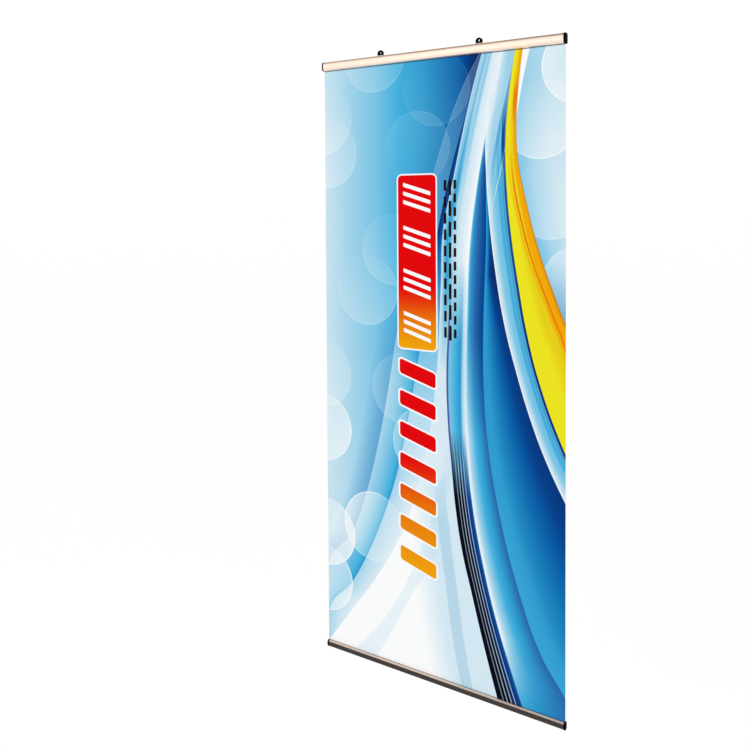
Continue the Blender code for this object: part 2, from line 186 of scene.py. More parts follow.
class PrintSettings(bpy.types.PropertyGroup):
    __annotations__ = {name: printed(name.capitalize(), code) for name, code in dict(
        white="fdfefe", frost="e3f1f9", mist="d5eaf5", pale="cbe5f2", fog="aed3e6", light="a6d6ec", sky="7cc4e6",
        cyan="46b0de", azure="2f98cd", harbour="4b90c8", blue="1d7cb9", slate="2d64a8", royal="0a5fa6",
        deep="00428a", navy="10306c", night="080a1c", violet="544a8c", lemon="eee424", yellow="e9cf1e",
        amber="f3a80a", ochre="cc7d14", orange="e8750c", red="e3000c", brown="20140e").items()}


class StageSettings(bpy.types.PropertyGroup):
    clearance: length("Clearance", "Height of the lower rail above the floor", 0.30)
    lens: FloatProperty(name="Lens", description="Focal length on a 36 mm sensor", default=36.44, unit="CAMERA")
    lift: FloatProperty(name="Lift", description="Upward shift of the view", default=-0.197)
    key_power: FloatProperty(name="Key power", description="Power of the soft key light", default=7.5, unit="POWER")
    walls: FloatProperty(name="Walls", description="Brightness of the white walls", default=1.09)
    ceiling: FloatProperty(name="Ceiling", description="Brightness overhead, as a share of the walls", default=0.10,
                           subtype="FACTOR")
    floor_glow: FloatProperty(name="Floor glow", description="Light that the studio floor gives off", default=0.46)


class BannerSettings(bpy.types.PropertyGroup):
    rails: PointerProperty(type=RailSettings)
    fittings: PointerProperty(type=FittingSettings)
    film: PointerProperty(type=FilmSettings)
    finishes: PointerProperty(type=FinishSettings)
    inks: PointerProperty(type=PrintSettings)
    stage: PointerProperty(type=StageSettings)


def settings():
    return bpy.context.scene.hanging_banner


# ---------------------------------------------------------------- outlines

def arc(centre, radius, start, end, steps):
    turns = [start + (end - start) * i / steps for i in range(steps + 1)]
    return [(centre[0] + radius * math.cos(a), centre[1] + radius * math.sin(a)) for a in turns]


def rectangle(low, high):
    return [low, (high[0], low[1]), high, (low[0], high[1])]


class Section:
    """One rail's section, from the depth of its hinge edge, 0, to its mouth."""

    def __init__(self, node, back, back_round, bead, ring_wall, block, grip, grip_lip, runs_down):
        low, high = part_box(node)
        self.height = high.z - low.z
        self.edge, self.sign = (high.z, -1) if runs_down else (low.z, 1)
        self.half_length = high.x
        self.back, self.back_round, self.bead = back, back_round, bead
        self.block_front, self.block_depth = block
        self.ring_inner = bead + GAP
        self.ring_outer = bead + GAP + ring_wall
        self.heel = self.ring_outer + HEEL_REACH
        self.grip, self.grip_lip = grip, grip_lip
        self.ring_end = math.asin((NECK / 2 + GAP) / self.ring_inner)
        rise = self.heel * math.sin(self.ring_end + HEEL_TURN[0]) - HEEL_TO_BLOCK
        self.pivot_y = -self.block_front - HINGE_TO_BLOCK - self.ring_outer
        self.pivot_depth = self.block_depth - rise
        self.bulge = (self.ring_outer - self.pivot_y) / self.swell(self.pivot_depth, self.height)
        self.heel_tip = self.around(self.heel, -self.ring_end - HEEL_TURN[1])
        self.shelf = self.pivot_depth + self.heel + SHELF_BELOW_HEEL
        self.front_steps = settings().rails.front_steps
        self.arc_steps = settings().rails.arc_steps

    @staticmethod
    def swell(depth, height):
        across = min(abs(1 - 2 * depth / height), 1.0)
        return (1 - across ** ROUNDNESS) ** (1 / ROUNDNESS)

    def front(self, first, last, inset=0.0):
        """Points down the rounded front, set in by a wall where asked."""
        points = []
        for i in range(self.front_steps + 1):
            depth = first + (last - first) * (0.5 - 0.5 * math.cos(math.pi * i / self.front_steps))
            points.append((-(self.bulge - inset) * self.swell(depth - inset, self.height - 2 * inset), depth))
        return points

    def depth_at(self, y, towards):
        across = (1 - (-y / self.bulge) ** ROUNDNESS) ** (1 / ROUNDNESS)
        return self.height / 2 * (1 + towards * across)

    def around(self, radius, angle):
        """A point round the hinge; angles run from +Y towards the hinge edge."""
        return (self.pivot_y + radius * math.cos(angle), self.pivot_depth - radius * math.sin(angle))

    def ring(self, radius, start, end, steps):
        return [self.around(radius, start + (end - start) * i / steps) for i in range(steps + 1)]

    def back_corners(self):
        corner, bend = self.back - self.back_round, self.back_round
        return (arc((corner, self.height - bend), bend, math.pi / 2, 0, self.arc_steps)
                + arc((corner, bend), bend, 0, -math.pi / 2, self.arc_steps))

    def back_loop(self, track):
        turn, half = math.asin(NECK / 2 / self.bead), NECK / 2
        loop = [(-self.block_front, 0.0), (-self.block_front, self.pivot_depth - half)]
        loop += self.ring(self.bead, turn, 2 * math.pi - turn, 2 * self.arc_steps)
        loop += [(-self.block_front, self.pivot_depth + half), (-self.block_front, self.block_depth),
                 (WEB_FRONT, self.block_depth), (WEB_FRONT, self.shelf),
                 (self.heel_tip[0] - SHELF_LIP, self.shelf),
                 (self.heel_tip[0] - SHELF_LIP, self.shelf + SHELF_THICKNESS),
                 (WEB_FRONT, self.shelf + SHELF_THICKNESS), (WEB_FRONT, self.height)]
        return loop + self.back_corners() + track

    def chamber(self):
        inner = min(self.back_round - WALL, CHAMBER_ROUND_SHARE * (self.back - WALL - WEB_BACK))
        corner = (self.back - WALL - inner, self.height - WALL - inner)
        loop = [(WEB_BACK, self.height - WALL), (WEB_BACK, self.block_depth + WALL),
                (self.back - WALL, self.block_depth + WALL)]
        return loop + arc(corner, inner, 0, math.pi / 2, self.arc_steps)

    def jaw_loop(self):
        mouth, pad_back = -WEB_FRONT, -WEB_FRONT - WALL
        ring_start = self.ring_end + JAW_OPENING
        start = self.depth_at(self.pivot_y + self.ring_outer * math.cos(ring_start), -1)
        loop = self.front(start, self.depth_at(mouth, 1))
        loop += [(mouth, self.height - self.grip), (pad_back, self.height - self.grip)]
        meeting = self.ring_meets_skin()
        inner = [p for p in self.front(self.height - WALL, self.around(self.ring_outer, meeting)[1], WALL)[:-1]
                 if p[0] < pad_back - WALL / 2]
        loop += [(pad_back, inner[0][1])] + inner
        loop += self.ring(self.ring_outer, meeting, RING_OPEN_END, self.arc_steps)
        loop += [self.heel_tip, self.around(self.heel, -self.ring_end - HEEL_TURN[0]),
                 self.around(self.ring_outer, -self.ring_end)]
        return loop + self.ring(self.ring_inner, -self.ring_end, ring_start - 2 * math.pi, 2 * self.arc_steps)

    def ring_meets_skin(self):
        """Angle at which the ring's outside leaves the inner face of the skin."""
        angle = math.pi
        while True:
            angle += math.radians(0.5)
            y, depth = self.around(self.ring_outer, angle)
            if -y < (self.bulge - WALL) * self.swell(depth - WALL, self.height - 2 * WALL):
                return angle

    def grip_loop(self, side):
        """A rubber strip on one side of the film, ribbed where it pinches; side is -1 in front."""
        top, bottom = self.height - self.grip + GAP, self.height + self.grip_lip
        near, far = SHEET_THICKNESS / 2 + GAP, SHEET_THICKNESS / 2 + GAP + GRIP_THICKNESS
        ribs = settings().rails.grip_ribs
        pitch = (self.grip - 2 * GAP) / ribs
        face = [(far, bottom), (far, top), (near, top)]
        for i in range(ribs):
            start = top + pitch * i
            face += [(near, start + 0.55 * pitch), (near + GAP, start + 0.70 * pitch),
                     (near + GAP, start + 0.85 * pitch), (near, start + pitch)]
        face += [(near, bottom)]
        return [(side * y, depth) for y, depth in face]

    def cap_loop(self):
        points = self.front(0.0, self.height) + self.back_corners()
        centre, middle = self.back - self.back_round, self.height / 2
        grow = 1 + CAP_PROUD / (self.bulge + centre)
        rise = 1 + CAP_PROUD / middle
        grown = []
        for y, depth in points:
            stretch = grow if y < centre else 1 + CAP_PROUD / self.back_round
            grown.append((centre + (y - centre) * stretch, middle + (depth - middle) * rise))
        return grown

    def placed(self, loop):
        return [(y, self.edge + self.sign * depth) for y, depth in loop]


def top_section():
    block = (TRACK_WIDTH / 2 + WALL, TRACK_LIP + TRACK_HEIGHT + WALL)
    return Section("top_back_rail", 9.5 * MM, 6 * MM, 1.5 * MM, 1.3 * MM, block, 7 * MM, 1.4 * MM, True)


def bottom_section():
    keel = (KEEL_FRONT, KEEL_DEPTH)
    return Section("bottom_back_rail", 7.5 * MM, 4 * MM, 1.2 * MM, 1.0 * MM, keel, 6 * MM, 0.6 * MM, False)


def hanger_track():
    slot, track, floor = SLOT_WIDTH / 2, TRACK_WIDTH / 2, TRACK_LIP + TRACK_HEIGHT
    return [(slot, 0.0), (slot, TRACK_LIP), (track, TRACK_LIP), (track, floor), (-track, floor),
            (-track, TRACK_LIP), (-slot, TRACK_LIP), (-slot, 0.0)]


# ---------------------------------------------------------------- geometry nodes

def extrusion_tree():
    """Pushes a filled outline through a die: Section is a flat curve, Length is along its own Z."""
    name = "extrusion"
    if name in bpy.data.node_groups:
        return bpy.data.node_groups[name]
    tree = bpy.data.node_groups.new(name, "GeometryNodeTree")
    sockets = tree.interface
    sockets.new_socket("Geometry", in_out="OUTPUT", socket_type="NodeSocketGeometry")
    sockets.new_socket("Section", in_out="INPUT", socket_type="NodeSocketObject")
    sockets.new_socket("Length", in_out="INPUT", socket_type="NodeSocketFloat")
    sockets.new_socket("Finish", in_out="INPUT", socket_type="NodeSocketMaterial")
    made = {name: tree.nodes.new(kind) for name, kind in dict(
        given="NodeGroupInput", outline="GeometryNodeObjectInfo", fill="GeometryNodeFillCurve",
        half="ShaderNodeMath", along="ShaderNodeCombineXYZ", shift="GeometryNodeTransform",
        push="GeometryNodeExtrudeMesh", flip="GeometryNodeFlipFaces", join="GeometryNodeJoinGeometry",
        weld="GeometryNodeMergeByDistance", real="GeometryNodeRealizeInstances",
        finish="GeometryNodeSetMaterial", result="NodeGroupOutput").items()}
    made["fill"].mode = "NGONS"
    made["half"].operation = "MULTIPLY"
    made["half"].inputs[1].default_value = -0.5
    made["push"].inputs["Individual"].default_value = False
    made["push"].inputs["Offset"].default_value = (0, 0, 1)
    made["weld"].inputs["Distance"].default_value = WELD
    for source, leaves, target, enters in (
            ("given", "Section", "outline", "Object"), ("outline", "Geometry", "fill", "Curve"),
            ("fill", "Mesh", "shift", "Geometry"), ("given", "Length", "half", 0), ("half", 0, "along", "Z"),
            ("along", "Vector", "shift", "Translation"), ("shift", "Geometry", "push", "Mesh"),
            ("given", "Length", "push", "Offset Scale"), ("shift", "Geometry", "flip", "Mesh"),
            ("push", "Mesh", "join", "Geometry"), ("flip", "Mesh", "join", "Geometry"),
            ("join", "Geometry", "weld", "Geometry"), ("weld", "Geometry", "real", "Geometry"),
            ("real", "Geometry", "finish", "Geometry"), ("given", "Finish", "finish", "Material"),
            ("finish", "Geometry", "result", "Geometry")):
        tree.links.new(made[source].outputs[leaves], made[target].inputs[enters])
    return tree


def run_tree(name, tree, **values):
    """Runs a node tree once and keeps what it makes as a plain mesh object at the origin."""
    made = bpy.data.objects.new(name, bpy.data.meshes.new(name))
    bpy.context.scene.collection.objects.link(made)
    step = made.modifiers.new(tree.name, "NODES")
    step.node_group = tree
    for socket in tree.interface.items_tree:
        if socket.in_out == "INPUT":
            step[socket.identifier] = values[socket.name]
    keep_result(made)
    return made


def keep_result(made):
    """Replaces an object's mesh by what its modifiers make of it, and removes them."""
    bpy.context.view_layer.update()
    evaluated = made.evaluated_get(bpy.context.evaluated_depsgraph_get())
    mesh = bpy.data.meshes.new_from_object(evaluated)
    made.modifiers.clear()
    old, made.data = made.data, mesh
    mesh.name = made.name
    bpy.data.meshes.remove(old)


def extruded(name, loops, reach, finish, placing):
    """An outline pushed to a length, then laid where placing says."""
    curve = bpy.data.curves.new(f"{name}_outline", "CURVE")
    curve.dimensions = "2D"
    for loop in loops:
        spline = curve.splines.new("POLY")
        spline.points.add(len(loop) - 1)
        for point, (u, v) in zip(spline.points, loop):
            point.co = (u, v, 0, 1)
        spline.use_cyclic_u = True
    outline = bpy.data.objects.new(f"{name}_outline", curve)
    bpy.context.scene.collection.objects.link(outline)
    made = run_tree(name, extrusion_tree(), Section=outline, Length=reach, Finish=finish)
    bpy.data.objects.remove(outline)
    bpy.data.curves.remove(curve)
    made.data.transform(placing)
    one_finish(made, finish)
    return made


def linked(name, shape):
    """A mesh object in the scene, made of a shape that is then let go."""
    made = bpy.data.objects.new(name, bpy.data.meshes.new(name))
    shape.to_mesh(made.data)
    shape.free()
    bpy.context.scene.collection.objects.link(made)
    return made


def one_finish(made, material):
    """Gives every face the same material, in the only slot."""
    made.data.materials.clear()
    made.data.materials.append(material)
    made.data.polygons.foreach_set("material_index", [0] * len(made.data.polygons))


# ---------------------------------------------------------------- mesh finishing

def reshape(made, change=None):
    """Makes a change to a mesh and turns its faces outwards."""
    shape = bmesh.new()
    shape.from_mesh(made.data)
    if change:
        change(shape)
    bmesh.ops.recalc_face_normals(shape, faces=shape.faces)
    shape.to_mesh(made.data)
    shape.free()


def round_edges(shape, chosen, radius, steps):
    bmesh.ops.bevel(shape, geom=chosen, offset=radius, offset_type="OFFSET", segments=steps, profile=0.5,
                    affect="EDGES", clamp_overlap=True)


def rim(shape, axis, value, steepest=math.radians(40)):
    """The edges that bound a flat end lying at a given place along an axis."""
    return [e for e in shape.edges if len(e.link_faces) == 2
            and all(abs(v.co[axis] - value) < GAP / 10 for v in e.verts)
            and e.calc_face_angle() > steepest]


def unite(made, *others):
    """Welds closed shapes into one closed mesh of one material."""
    material = made.data.materials[0]
    for other in others:
        step = made.modifiers.new(other.name, "BOOLEAN")
        step.operation, step.solver, step.object = "UNION", "EXACT", other
    keep_result(made)
    one_finish(made, material)
    for other in others:
        bpy.data.objects.remove(other)


def hand_over(made, body, node):
    """Smooths a finished piece, ties it to its body and hides the node it stands for."""
    made.data.shade_smooth()
    made.data.set_sharp_from_angle(angle=SMOOTH_ANGLE)
    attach(made, body)
    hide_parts(node)


# ---------------------------------------------------------------- materials

def linear(gamma_colour):
    """A colour as seen on a swatch, turned into the light it reflects."""
    return tuple(c / 12.92 if c <= 0.04045 else ((c + 0.055) / 1.055) ** 2.4 for c in gamma_colour) + (1.0,)


class Finish:
    """A material under construction: small calls that add a node and return its output."""

    def __init__(self, name, metallic, specular):
        self.material = bpy.data.materials.new(name)
        self.material.use_nodes = True
        self.tree = self.material.node_tree
        self.shader = self.tree.nodes["Principled BSDF"]
        self.shader.inputs["Metallic"].default_value = metallic
        self.shader.inputs["Specular IOR Level"].default_value = specular

    def add(self, kind, *values, **choices):
        node = self.tree.nodes.new(kind)
        for name, choice in choices.items():
            setattr(node, name, choice)
        for socket, value in zip(node.inputs, values):
            if isinstance(value, bpy.types.NodeSocket):
                self.tree.links.new(value, socket)
            elif value is not None:
                socket.default_value = value
        return node

    def math(self, operation, *values, clamp=False):
        return self.add("ShaderNodeMath", *values, operation=operation, use_clamp=clamp).outputs[0]

    def vector(self, operation, *values):
        node = self.add("ShaderNodeVectorMath", *values, operation=operation)
        return node.outputs["Value" if operation in ("LENGTH", "DISTANCE", "DOT_PRODUCT") else "Vector"]

    def mix(self, share, under, over):
        node = self.add("ShaderNodeMix", data_type="RGBA")
        for socket, value in zip((node.inputs[0], node.inputs[6], node.inputs[7]), (share, under, over)):
            if isinstance(value, bpy.types.NodeSocket):
                self.tree.links.new(value, socket)
            else:
                socket.default_value = value
        return node.outputs[2]

    def ramp(self, share, stops):
        node = self.add("ShaderNodeValToRGB", share)
        elements = node.color_ramp.elements
        while len(elements) < len(stops):
            elements.new(0.5)
        for element, (place, shade) in zip(elements, stops):
            element.position, element.color = place, shade
        return node.outputs["Color"]

    def object_space(self, stretch=PLAIN):
        return self.vector("MULTIPLY", self.add("ShaderNodeTexCoord").outputs["Object"], stretch)

    def noise(self, stretch, scale, detail=2.0, roughness=0.5):
        node = self.add("ShaderNodeTexNoise", self.object_space(stretch))
        for name, value in (("Scale", scale), ("Detail", detail), ("Roughness", roughness)):
            node.inputs[name].default_value = value
        return node.outputs["Fac"]

    def between(self, share, low, high):
        return self.math("MULTIPLY_ADD", share, high - low, low)

    def wire(self, name, value):
        self.tree.links.new(value, self.shader.inputs[name])

    def bump(self, height, strength, distance):
        node = self.tree.nodes.new("ShaderNodeBump")
        node.inputs["Strength"].default_value = strength
        node.inputs["Distance"].default_value = distance
        self.tree.links.new(height, node.inputs["Height"])
        self.wire("Normal", node.outputs["Normal"])


def tinted(shade, red, green=None, blue=None):
    """A colour with each channel multiplied; one factor serves all three."""
    factors = (red, red if green is None else green, red if blue is None else blue)
    return tuple(min(c * f, 1.0) for c, f in zip(shade, factors)) + (1.0,)


def anodised(name, shade, low, high):
    """Satin anodised aluminium: die lines along the rail and a faint mottle in the dye."""
    finish = Finish(name, 1.0, 0.5)
    lines = finish.noise((1.5, 900.0, 900.0), 1.0, 3.0, 0.6)
    mottle = finish.noise((9.0, 40.0, 40.0), 1.0)
    finish.wire("Roughness", finish.between(finish.math("MULTIPLY_ADD", mottle, 0.4, lines), low, high))
    finish.bump(lines, 0.06, 0.05 * MM)
    return finish, finish.mix(mottle, tinted(shade, 0.955), shade)


def champagne_rail(shades):
    finish, toned = anodised("champagne_rail", linear(shades.champagne), 0.30, 0.44)
    finish.wire("Base Color", toned)
    return finish.material


def bronze_rail(shades):
    """The lower front: a dark bronze face painted as shade, running out to champagne over the shoulder above the
    film's mouth; the shoulder is also made less metallic so that it shows painted light.
    """
    section, reach = bottom_section(), 2.6 * MM
    start = section.edge + section.height - 1.5 * reach
    finish, toned = anodised("bronze_rail", linear(shades.painted_shade_bronze), 0.34, 0.46)
    height = finish.add("ShaderNodeSeparateXYZ", finish.add("ShaderNodeTexCoord").outputs["Object"]).outputs["Z"]
    # share is 0 on the face, where dark bronze is painted shade, and 1 on the shoulder, where champagne made less
    # metallic is painted light.
    share = finish.math("MULTIPLY_ADD", height, 1 / reach, -start / reach, clamp=True)
    finish.wire("Base Color", finish.mix(share, toned, linear(shades.champagne)))
    finish.wire("Metallic", finish.between(share, 1.0, 0.2))
    return finish.material


def black_plastic(shades):
    """Moulded black plastic with a fine spark-eroded grain."""
    finish, shade = Finish("black_plastic", 0.0, 0.003), linear(shades.black)
    cloud = finish.noise(PLAIN, 60.0)
    finish.wire("Base Color", finish.mix(cloud, shade, tinted(shade, 1.5)))
    finish.wire("Roughness", finish.between(cloud, 0.30, 0.42))
    finish.bump(finish.noise(PLAIN, 1400.0), 0.12, 0.05 * MM)
    return finish.material


def black_rubber(shades):
    """Extruded rubber: matt, with flow lines along the strip."""
    finish, shade = Finish("black_rubber", 0.0, 0.35), linear(shades.rubber)
    dust = finish.noise(PLAIN, 500.0, 3.0)
    finish.wire("Base Color", finish.mix(dust, shade, tinted(shade, 1.7)))
    finish.wire("Roughness", finish.between(dust, 0.62, 0.85))
    finish.bump(finish.noise((12.0, 2200.0, 2200.0), 1.0), 0.2, 0.05 * MM)
    return finish.material


def spring_steel(shades):
    """Cold-rolled strip with a fine brushed direction and slight straw tint."""
    finish, shade = Finish("spring_steel", 1.0, 0.5), linear(shades.steel)
    lines = finish.noise((30.0, 3000.0, 3000.0), 1.0)
    finish.wire("Base Color", finish.mix(finish.noise(PLAIN, 90.0, 1.0), shade, tinted(shade, 1.0, 0.95, 0.86)))
    finish.wire("Roughness", finish.between(lines, 0.20, 0.38))
    finish.bump(lines, 0.1, 0.02 * MM)
    return finish.material


def film_back(shades):
    """Back of the banner film: white coating over a fine woven scrim."""
    finish, shade = Finish("film_back", 0.0, 0.25), linear(shades.film_back)
    across, _, up = finish.add("ShaderNodeSeparateXYZ", finish.object_space()).outputs
    turns = 2 * math.pi / (1.6 * MM)
    warp, weft = (finish.math("SINE", finish.math("MULTIPLY", way, turns)) for way in (across, up))
    cloud = finish.noise(PLAIN, 7.0, 3.0)
    finish.wire("Base Color", finish.mix(cloud, tinted(shade, 0.94), shade))
    finish.wire("Roughness", finish.between(cloud, 0.50, 0.62))
    finish.bump(finish.math("MAXIMUM", warp, weft), 0.10, 0.05 * MM)
    return finish.material


# ---------------------------------------------------------------- the print

class Print(Finish):
    """The printed side. Places are metres across from the film's left edge and down from the upper mouth.
    Inks are mixed as swatches, and the finished art is turned into reflected light at the end."""

    def __init__(self, film_width, film_length, hidden_above, drop):
        super().__init__("printed_film", 0.0, 0.03)
        self.drop = drop
        uv = self.add("ShaderNodeSeparateXYZ", self.add("ShaderNodeTexCoord").outputs["UV"]).outputs
        self.across = self.math("MULTIPLY", uv["X"], film_width)
        self.down = self.math("MULTIPLY_ADD", uv["Y"], -film_length, film_length - hidden_above)
        self.share_down = self.math("MULTIPLY", self.down, 1 / drop, clamp=True)
        self.inks = {name: (*getattr(settings().inks, name), 1.0) for name in PrintSettings.__annotations__}
        self.art = None

    def line(self, *points):
        """A long smooth line, given as (down, across) points in millimetres."""
        node = self.add("ShaderNodeFloatCurve", 1.0, self.share_down)
        curve = node.mapping.curves[0]
        places = [(down * MM / self.drop, across * MM) for down, across in points]
        for place in places[1:-1]:
            curve.points.new(*place)
        curve.points[0].location, curve.points[-1].location = places[0], places[-1]
        node.mapping.update()
        return node.outputs[0]

    def joined(self, across, down):
        return self.add("ShaderNodeCombineXYZ", across, down, 0.0).outputs[0]

    def slope(self, value, rate, start):
        """A straight slope, held between 0 and 1."""
        return self.math("MULTIPLY_ADD", value, rate, start, clamp=True)

    def all_of(self, *covers):
        """The product of several covers."""
        product = covers[0]
        for cover in covers[1:]:
            product = self.math("MULTIPLY", product, cover)
        return product

    def less(self, cover, taken):
        return self.math("SUBTRACT", cover, taken, clamp=True)

    def from_line(self, line):
        """How far a place lies right of a line, in metres."""
        return self.math("SUBTRACT", self.across, line)

    def past(self, line, blur=INK_BLUR):
        """0 left of a line and 1 right of it, over a blur in millimetres."""
        return self.slope(self.from_line(line), 1 / (blur * MM), 0.5)

    def share(self, start, end):
        """How far a place lies from one line to the next."""
        return self.math("DIVIDE", self.from_line(start), self.math("SUBTRACT", end, start), clamp=True)

    def fade(self, first, last):
        """0 above one height and 1 below another, in millimetres down."""
        reach = (last - first) * MM
        return self.slope(self.down, 1 / reach, -first * MM / reach)

    def until(self, first, last):
        """1 above one height and 0 below another."""
        return self.math("SUBTRACT", 1.0, self.fade(first, last))

    def spell(self, first, full, going, gone):
        """1 between two heights, with a fade at each."""
        return self.less(self.fade(first, full), self.fade(going, gone))

    def shades(self, share, *stops):
        return self.ramp(share, [(place, self.inks[name]) for place, name in stops])

    def lay(self, over, *covers):
        over = self.inks[over] if isinstance(over, str) else over
        self.art = self.mix(self.all_of(*covers), self.art, over)

    def streaks(self, share, fineness, strength, cover):
        """Fine pale rays that run with a sweep."""
        rays = self.add("ShaderNodeTexNoise", noise_dimensions="1D")
        self.tree.links.new(share, rays.inputs["W"])
        rays.inputs["Scale"].default_value = fineness
        rays.inputs["Detail"].default_value = 2.0
        self.lay("white", self.slope(rays.outputs["Fac"], 3.0 * strength, -1.35 * strength), cover)

    def stripe(self, line, offset, width, ink, *covers):
        """A thin line that keeps its distance, in millimetres, from a sweep."""
        away = self.math("ABSOLUTE", self.from_line(self.math("ADD", line, offset * MM)))
        self.lay(ink, self.slope(away, -1 / (0.9 * MM), 0.5 + width / 1.8), *covers)

    def disc(self, across, down, strength, lean, radius=118):
        """Cover of a translucent disc, brighter towards one side; lean is that side's angle in degrees."""
        off = self.vector("SUBTRACT", self.joined(self.across, self.down), (across * MM, down * MM, 0.0))
        far = self.vector("LENGTH", off)
        inside = self.slope(far, -1 / (INK_BLUR * MM), radius / INK_BLUR + 0.5)
        edge = self.math("ABSOLUTE", self.math("SUBTRACT", far, (radius - 1.5) * MM))
        turn, reach = math.radians(lean), 0.5 / (radius * MM)
        side = self.vector("DOT_PRODUCT", off, (reach * math.cos(turn), reach * math.sin(turn), 0.0))
        body = self.math("MULTIPLY_ADD", self.math("ADD", side, 0.5, clamp=True), strength, 0.03)
        return self.slope(self.slope(edge, -1 / (2.2 * MM), 1.0), self.all_of(body, 0.9), self.all_of(inside, body))

    def discs(self, places, *covers):
        """White discs laid over each other."""
        clear = self.all_of(*(self.math("SUBTRACT", 1.0, self.disc(*place)) for place in places))
        self.lay("white", self.math("SUBTRACT", 1.0, clear), *covers)

    def bar(self, centre, half, corner, slant=0.0, rows=1, pitch=0.0):
        """Distance outside a rounded bar, or the nearest of a row of them down the film, in metres."""
        across = self.from_line(centre[0] * MM)
        down = self.math("SUBTRACT", self.down, centre[1] * MM)
        if slant:
            down = self.math("MULTIPLY_ADD", across, -slant, down)
        if rows > 1:
            row = self.math("ROUND", self.math("DIVIDE", down, pitch * MM))
            row = self.math("MINIMUM", self.math("MAXIMUM", row, 0.0), rows - 1.0)
            down = self.math("MULTIPLY_ADD", row, -pitch * MM, down)
        inner = ((half[0] - corner) * MM, (half[1] - corner) * MM, 0.0)
        over = self.vector("SUBTRACT", self.vector("ABSOLUTE", self.joined(across, down)), inner)
        over = self.vector("MAXIMUM", over, (0.0, 0.0, 0.0))
        return self.math("SUBTRACT", self.vector("LENGTH", over), corner * MM)

    def within(self, distance, margin=0.0):
        """1 inside a bar grown by a margin in millimetres."""
        return self.slope(distance, -1 / (INK_BLUR * MM), margin / INK_BLUR + 0.5)

    def background(self):
        """Left field: pale at the edge, through sky blue, to navy under the first sweep."""
        self.art = self.shades(self.math("DIVIDE", self.across, 0.560), (0.0, "pale"), (0.16, "light"), (0.36, "sky"),
                               (0.52, "cyan"), (0.68, "azure"), (0.79, "blue"), (0.89, "royal"), (0.96, "deep"),
                               (1.0, "navy"))
        self.lay("pale", self.fade(800, 1500), 0.28)

    def left_sweeps(self):
        """Two long arcs that fall from the upper middle to the lower left, with a clear band between them."""
        first = self.line((0, 580), (130, 507), (350, 424), (600, 350), (850, 290), (1080, 248), (1230, 217),
                          (1440, 161), (1590, 103), (1730, 0), (2000, 0))
        second = self.line((0, 586), (160, 540), (360, 480), (620, 420), (830, 386), (1080, 341), (1330, 287),
                           (1460, 246), (1670, 156), (1770, 98), (1900, 0), (2000, 0))
        third = self.line((0, 588), (165, 543), (380, 492), (550, 452), (720, 445), (1020, 427), (1250, 392),
                          (1500, 320), (1700, 215), (1850, 110), (2000, 0))
        self.lay("harbour", self.slope(self.from_line(first), 1 / 0.080, 1.0), self.fade(700, 1050), 0.65)
        band = self.shades(self.share(first, second), (0.0, "light"), (0.45, "sky"), (0.85, "cyan"), (1.0, "azure"))
        self.lay("frost", self.past(first), self.until(500, 1000), 0.24)
        self.lay(band, self.past(first), self.fade(500, 1050))
        self.stripe(first, 0.6, 1.2, "frost", 0.35)
        wedge = self.shades(self.share(second, third), (0.0, "navy"), (0.5, "deep"), (1.0, "royal"))
        wedge = self.mix(self.fade(560, 900), wedge, self.inks["sky"])
        ground = self.shades(self.slope(self.from_line(second), 1 / 0.130, 0.0), (0.0, "light"), (0.35, "pale"),
                             (0.7, "frost"), (1.0, "white"))
        self.lay(self.mix(self.fade(900, 1400), wedge, ground), self.past(second))
        return third

    def pale_ground(self, third):
        """The near-white lower field with its faint crossing beams."""
        self.lay("mist", self.past(third), self.fade(500, 720))
        left = self.line((0, 560), (900, 425), (1300, 415), (1560, 425), (1800, 452), (2000, 500))
        self.lay("white", self.slope(self.from_line(left), -1 / 0.090, 0.0), self.past(third), self.fade(1150, 1450))
        fan = self.line((0, 640), (1000, 560), (1240, 470), (1500, 400), (1650, 345), (1850, 235), (2000, 110))
        other = self.line((0, 640), (1000, 600), (1350, 475), (1560, 436), (1760, 330), (2000, 200))
        self.lay("light", self.less(self.past(fan, 2.0), self.past(other, 2.0)), self.fade(900, 1200), 0.22)
        lean = self.line((0, 600), (900, 440), (1300, 415), (1560, 440), (1700, 460), (1850, 482), (2000, 512))
        strip = self.less(self.past(lean, 2.0), self.past(self.math("ADD", lean, 0.040), 2.0))
        self.lay("fog", strip, self.fade(1300, 1500), 0.75)

    def ribbons(self):
        """The white ribbon, the dark lined band that grows out of it, and the blue field beyond."""
        left = self.line((0, 587), (165, 540), (380, 490), (560, 452), (720, 447), (900, 440), (1000, 440),
                         (1150, 470), (1300, 520), (1400, 560), (2000, 760))
        right = self.line((0, 655), (250, 600), (450, 564), (600, 546), (800, 537), (1000, 532), (1120, 531),
                          (1250, 536), (1425, 556), (1600, 591), (1760, 634), (1925, 691), (2000, 720))
        inner = self.line((0, 700), (300, 540), (500, 500), (700, 480), (900, 468), (1000, 464), (1150, 468),
                          (1300, 481), (1420, 493), (1560, 516), (1690, 549), (1820, 583), (2000, 635))
        hollow = self.line((0, 660), (300, 606), (600, 600), (820, 591), (1020, 591), (1220, 607), (1420, 643),
                           (1620, 697), (1820, 775), (1930, 850), (2000, 890))
        crest = self.line((0, 652), (150, 622), (250, 601), (360, 601), (525, 613), (640, 627), (820, 658), (975, 699),
                          (1120, 746), (1230, 791), (1345, 850), (1500, 940), (2000, 1000))
        across = self.share(left, right)
        low = self.shades(across, (0.0, "light"), (0.06, "sky"), (0.14, "azure"), (0.27, "cyan"), (0.40, "light"),
                          (0.60, "pale"), (0.82, "frost"), (1.0, "white"))
        high = self.shades(across, (0.0, "light"), (0.15, "sky"), (0.30, "light"), (0.42, "sky"), (0.55, "pale"),
                           (0.8, "frost"), (1.0, "frost"))
        cover = self.all_of(self.past(left), self.until(700, 1000))
        self.lay(self.mix(self.fade(150, 420), high, low), cover)
        self.streaks(across, 12.0, 0.5, cover)
        self.stripe(left, 18.0, 2.2, "slate", 0.5, self.until(350, 700))
        across = self.share(inner, right)
